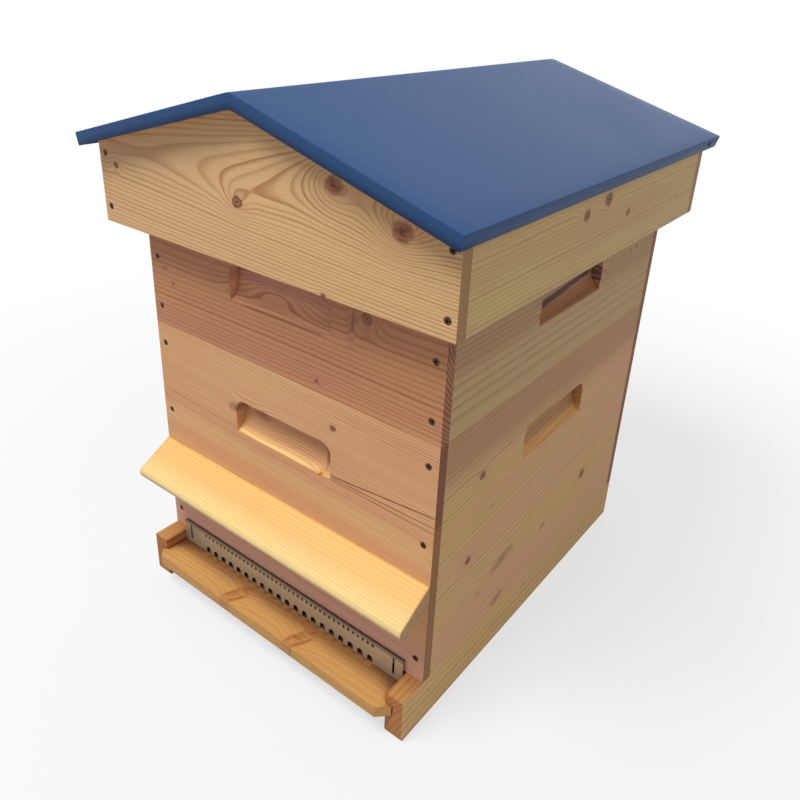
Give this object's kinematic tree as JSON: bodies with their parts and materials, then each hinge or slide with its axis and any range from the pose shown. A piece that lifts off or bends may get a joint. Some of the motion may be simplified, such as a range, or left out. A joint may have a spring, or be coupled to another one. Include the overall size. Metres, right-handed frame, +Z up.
{
  "type": "dadant beehive",
  "caption": "Wooden beehive of stacked lift-off boxes with hanging frames, a perforated entrance gate, a sloping awning and a gabled roof under folded blue sheet.",
  "frame": {"origin": "on the ground below the middle of the hive", "axes": "+Z up, -Y out of the entrance, +X to the right as the front is seen"},
  "size_m": [0.5112, 0.604, 0.6715],
  "materials": {
    "floor_pine": "oiled pine",
    "wall_pine": "oiled pine",
    "awning_pine": "oiled pine",
    "roof_pine": "oiled pine",
    "frame_wood": "planed pine",
    "plywood": "sanded plywood",
    "beeswax": "embossed wax",
    "frame_wire": "bright wire",
    "galvanised_steel": "dull zinc",
    "dark_screws": "blackened",
    "blue_sheet": "matt paint"
  },
  "bodies": {
    "floor": {"floor_left_rail": "floor_pine", "floor_right_rail": "floor_pine", "floor_rear_rail": "floor_pine", "landing_board": "floor_pine", "floor_middle_bar": "floor_pine", "floor_rear_board": "floor_pine", "floor_mesh": "galvanised_steel", "floor_nails": "dark_screws"},
    "hive_body": {"body_front_wall": "wall_pine", "body_rear_wall": "wall_pine", "body_left_wall": "wall_pine", "body_right_wall": "wall_pine", "awning": "awning_pine", "body_frame_rests": "galvanised_steel", "body_screws": "dark_screws", "gate_pins": "dark_screws"},
    "entrance_gate": {"entrance_gate": "galvanised_steel"},
    "brood_frames": {"brood_frame_01": "frame_wood", "brood_frame_02": "frame_wood", "brood_frame_03": "frame_wood", "brood_frame_04": "frame_wood", "brood_frame_05": "frame_wood", "brood_frame_06": "frame_wood", "brood_frame_07": "frame_wood", "brood_frame_08": "frame_wood", "brood_frame_09": "frame_wood", "brood_frame_10": "frame_wood", "brood_foundations": "beeswax", "brood_wires": "frame_wire"},
    "super": {"super_front_wall": "wall_pine", "super_rear_wall": "wall_pine", "super_left_wall": "wall_pine", "super_right_wall": "wall_pine", "super_frame_rests": "galvanised_steel", "super_screws": "dark_screws"},
    "shallow_frames": {"shallow_frame_01": "frame_wood", "shallow_frame_02": "frame_wood", "shallow_frame_03": "frame_wood", "shallow_frame_04": "frame_wood", "shallow_frame_05": "frame_wood", "shallow_frame_06": "frame_wood", "shallow_frame_07": "frame_wood", "shallow_frame_08": "frame_wood", "shallow_frame_09": "frame_wood", "shallow_foundations": "beeswax", "shallow_wires": "frame_wire"},
    "inner_cover": {"inner_cover_panel": "plywood", "inner_cover_battens": "frame_wood"},
    "roof": {"roof_front_gable": "roof_pine", "roof_rear_gable": "roof_pine", "roof_left_skirt": "roof_pine", "roof_right_skirt": "roof_pine", "roof_left_deck": "plywood", "roof_right_deck": "plywood", "roof_left_cleat": "frame_wood", "roof_right_cleat": "frame_wood", "roof_sheet": "blue_sheet", "roof_screws": "dark_screws", "roof_sheet_nails": "blue_sheet"}
  },
  "joints": [
    {"name": "body_lift", "type": "slide", "parent": "floor", "child": "hive_body", "axis": [0, 0, 1], "range_m": [0, 0.25]},
    {"name": "gate_slide", "type": "slide", "parent": "hive_body", "child": "entrance_gate", "axis": [0, 0, 1], "range_m": [0, 0.02]},
    {"name": "brood_frames_lift", "type": "slide", "parent": "hive_body", "child": "brood_frames", "axis": [0, 0, 1], "range_m": [0, 0.32]},
    {"name": "super_lift", "type": "slide", "parent": "brood_frames", "child": "super", "axis": [0, 0, 1], "range_m": [0, 0.2]},
    {"name": "shallow_frames_lift", "type": "slide", "parent": "super", "child": "shallow_frames", "axis": [0, 0, 1], "range_m": [0, 0.18]},
    {"name": "inner_cover_lift", "type": "slide", "parent": "shallow_frames", "child": "inner_cover", "axis": [0, 0, 1], "range_m": [0, 0.15]},
    {"name": "roof_lift", "type": "slide", "parent": "inner_cover", "child": "roof", "axis": [0, 0, 1], "range_m": [0, 0.25]}
  ]
}
